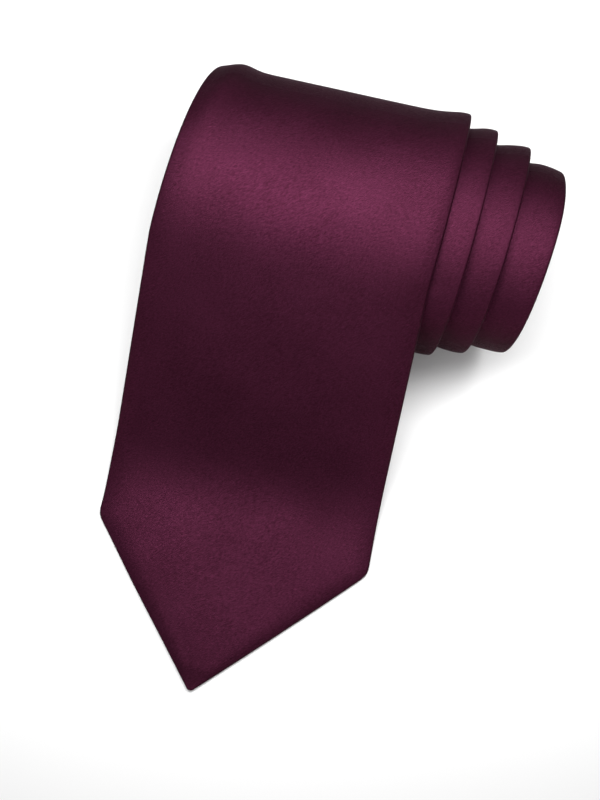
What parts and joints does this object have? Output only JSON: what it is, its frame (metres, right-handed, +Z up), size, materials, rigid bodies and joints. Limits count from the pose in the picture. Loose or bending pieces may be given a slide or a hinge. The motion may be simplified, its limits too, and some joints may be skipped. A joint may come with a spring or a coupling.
{
  "type": "necktie",
  "caption": "Satin necktie lying loosely rolled: wide pointed blade laid flat, its length wound into a stepped roll with a hollow core.",
  "frame": {"origin": "on the table, under the middle of the tie's box as it lies", "axes": "+X along the roll's axis, towards the side to which its turns step; -Y towards the wide blade's tip; +Z up from the table"},
  "size_m": [0.1206, 0.1886, 0.0756],
  "materials": {
    "silk_satin": "satin weave silk with a soft sheen",
    "silk_lining": "plain weave lining, matte",
    "wool_interlining": "brushed wool blend, matte",
    "sewing_thread": "twisted silk thread",
    "label_tape": "blank woven tape, matte"
  },
  "bodies": {
    "rolled_blade": {"blade_roll_shell": "silk_satin", "blade_roll_interlining": "wool_interlining", "blade_roll_slip_stitch": "sewing_thread"},
    "rolled_core": {"neck_shell": "silk_satin", "neck_interlining": "wool_interlining", "neck_slip_stitch": "sewing_thread", "blade_neck_seam": "sewing_thread", "tail_shell": "silk_satin", "tail_interlining": "wool_interlining", "tail_slip_stitch": "sewing_thread", "neck_tail_seam": "sewing_thread", "tail_tipping": "silk_lining", "tail_bar_tack": "sewing_thread", "care_label": "label_tape"},
    "blade_drop": {"drop_shell": "silk_satin", "drop_interlining": "wool_interlining", "upper_tipping": "silk_lining", "drop_slip_stitch": "sewing_thread", "blade_bar_tack": "sewing_thread", "keeper_loop": "silk_satin", "keeper_loop_stitches": "sewing_thread"},
    "blade_apron": {"apron_shell": "silk_satin", "apron_interlining": "wool_interlining", "blade_tipping": "silk_lining"}
  },
  "joints": [
    {"name": "core_push", "type": "slide", "parent": "rolled_blade", "child": "rolled_core", "axis": [1, 0, 0], "range_m": [-0.02, 0.025]},
    {"name": "blade_lift", "type": "hinge", "parent": "rolled_blade", "child": "blade_drop", "pos_m": [-0.01528, 0.02771, 0.06312], "axis": [-1, 0, 0], "range_deg": [0, 120]},
    {"name": "tip_lift", "type": "hinge", "parent": "blade_drop", "child": "blade_apron", "pos_m": [-0.01528, -0.03997, 0.00225], "axis": [-1, 0, 0], "range_deg": [0, 115]}
  ]
}
